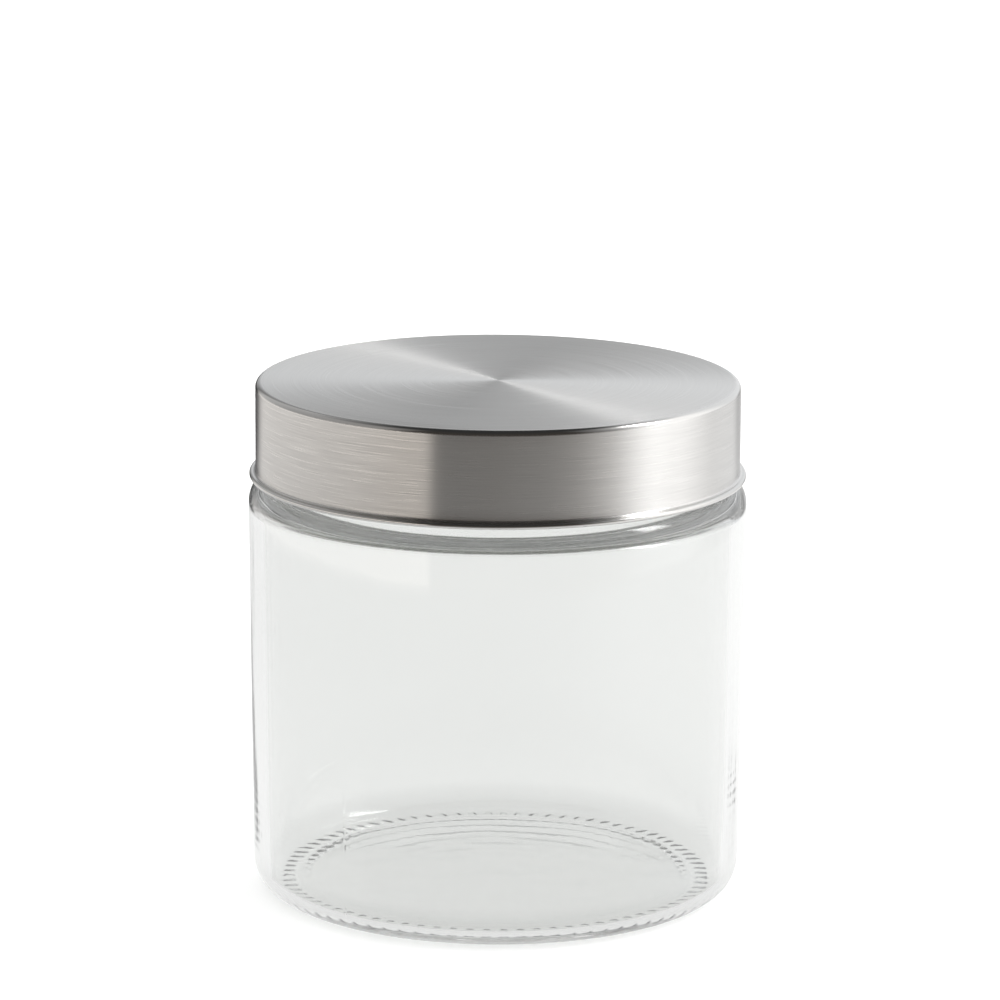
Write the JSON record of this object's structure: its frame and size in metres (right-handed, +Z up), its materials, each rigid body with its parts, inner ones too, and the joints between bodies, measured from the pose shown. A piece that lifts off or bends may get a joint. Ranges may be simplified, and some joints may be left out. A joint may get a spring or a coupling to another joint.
{
  "type": "lidded glass storage canister",
  "caption": "Round clear glass canister with an inset threaded neck and a screw-on brushed steel lid that carries a plastic insert and a sealing gasket.",
  "frame": {"origin": "middle of the ring that the jar stands on, at table height", "axes": "+Z up along the jar's axis towards the lid; X and Y are level, and the jar's first thread ridge starts at +X"},
  "size_m": [0.105, 0.105, 0.1094],
  "materials": {
    "jar_glass": "clear moulded soda-lime glass",
    "lid_steel": "stainless sheet, spun brushed top and skirt brushed round",
    "insert_plastic": "moulded white polypropylene",
    "gasket_silicone": "soft translucent silicone"
  },
  "bodies": {
    "jar": {"glass_jar": "jar_glass"},
    "gasket": {"lid_gasket": "gasket_silicone"},
    "lid": {"lid_shell": "lid_steel", "lid_insert": "insert_plastic"}
  },
  "joints": [
    {"name": "lid_rise", "type": "slide", "parent": "jar", "child": "gasket", "axis": [0, 0, 1], "range_m": [0, 0.024]},
    {"name": "lid_turn", "type": "hinge", "parent": "gasket", "child": "lid", "pos_m": [0, 0, 0.1062], "axis": [0, 0, 1], "range_deg": [0, 720]}
  ],
  "couplings": [
    {"joint": "lid_rise", "follows": "lid_turn", "m_per_rad": 0.0019099}
  ]
}
